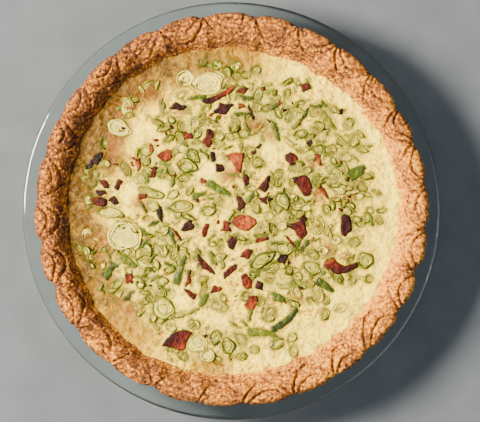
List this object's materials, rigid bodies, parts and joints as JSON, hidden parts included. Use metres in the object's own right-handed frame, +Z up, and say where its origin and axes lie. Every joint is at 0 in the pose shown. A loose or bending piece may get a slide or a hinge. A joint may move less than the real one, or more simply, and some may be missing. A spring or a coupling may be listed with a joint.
{
  "type": "quiche in a glass pie dish",
  "caption": "Whole baked quiche in a clear glass pie dish: a crust edge stamped with nested arcs round pale custard topped with bacon and sliced green onion.",
  "frame": {"origin": "centre of the glass dish's flat foot, where it meets the table", "axes": "+Z up through the custard, +Y towards the side with the large onion slice and the long bacon strip, +X to the right of it seen from above"},
  "size_m": [0.241, 0.241, 0.0453],
  "materials": {
    "clear_glass": "polished",
    "baked_pastry": "matte",
    "egg_custard": "satin",
    "fried_bacon": "satin",
    "onion_white": "satin",
    "onion_green": "satin"
  },
  "bodies": {
    "root": {"glass_dish": "clear_glass", "pastry_crust": "baked_pastry", "egg_custard": "egg_custard", "bacon_01": "fried_bacon", "bacon_02": "fried_bacon", "bacon_03": "fried_bacon", "bacon_04": "fried_bacon", "bacon_05": "fried_bacon", "bacon_06": "fried_bacon", "bacon_07": "fried_bacon", "bacon_08": "fried_bacon", "bacon_09": "fried_bacon", "bacon_10": "fried_bacon", "bacon_11": "fried_bacon", "bacon_12": "fried_bacon", "bacon_13": "fried_bacon", "bacon_14": "fried_bacon", "bacon_15": "fried_bacon", "bacon_16": "fried_bacon", "bacon_17": "fried_bacon", "bacon_18": "fried_bacon", "bacon_19": "fried_bacon", "bacon_20": "fried_bacon", "green_strip_01": "onion_green", "green_strip_02": "onion_green", "green_strip_03": "onion_green", "green_strip_04": "onion_green", "green_strip_05": "onion_green", "green_strip_06": "onion_green", "green_strip_07": "onion_green", "green_strip_08": "onion_green", "onion_slice_01": "onion_white", "onion_slice_02": "onion_white", "onion_slice_03": "onion_white", "onion_slice_04": "onion_white", "onion_slice_05": "onion_white", "onion_slice_06": "onion_white", "onion_slice_07": "onion_white", "onion_slice_08": "onion_white", "onion_slice_09": "onion_white", "onion_slice_10": "onion_white", "onion_slice_11": "onion_white", "onion_slice_12": "onion_white", "onion_slice_13": "onion_white", "onion_slice_14": "onion_white"}
  },
  "joints": []
}
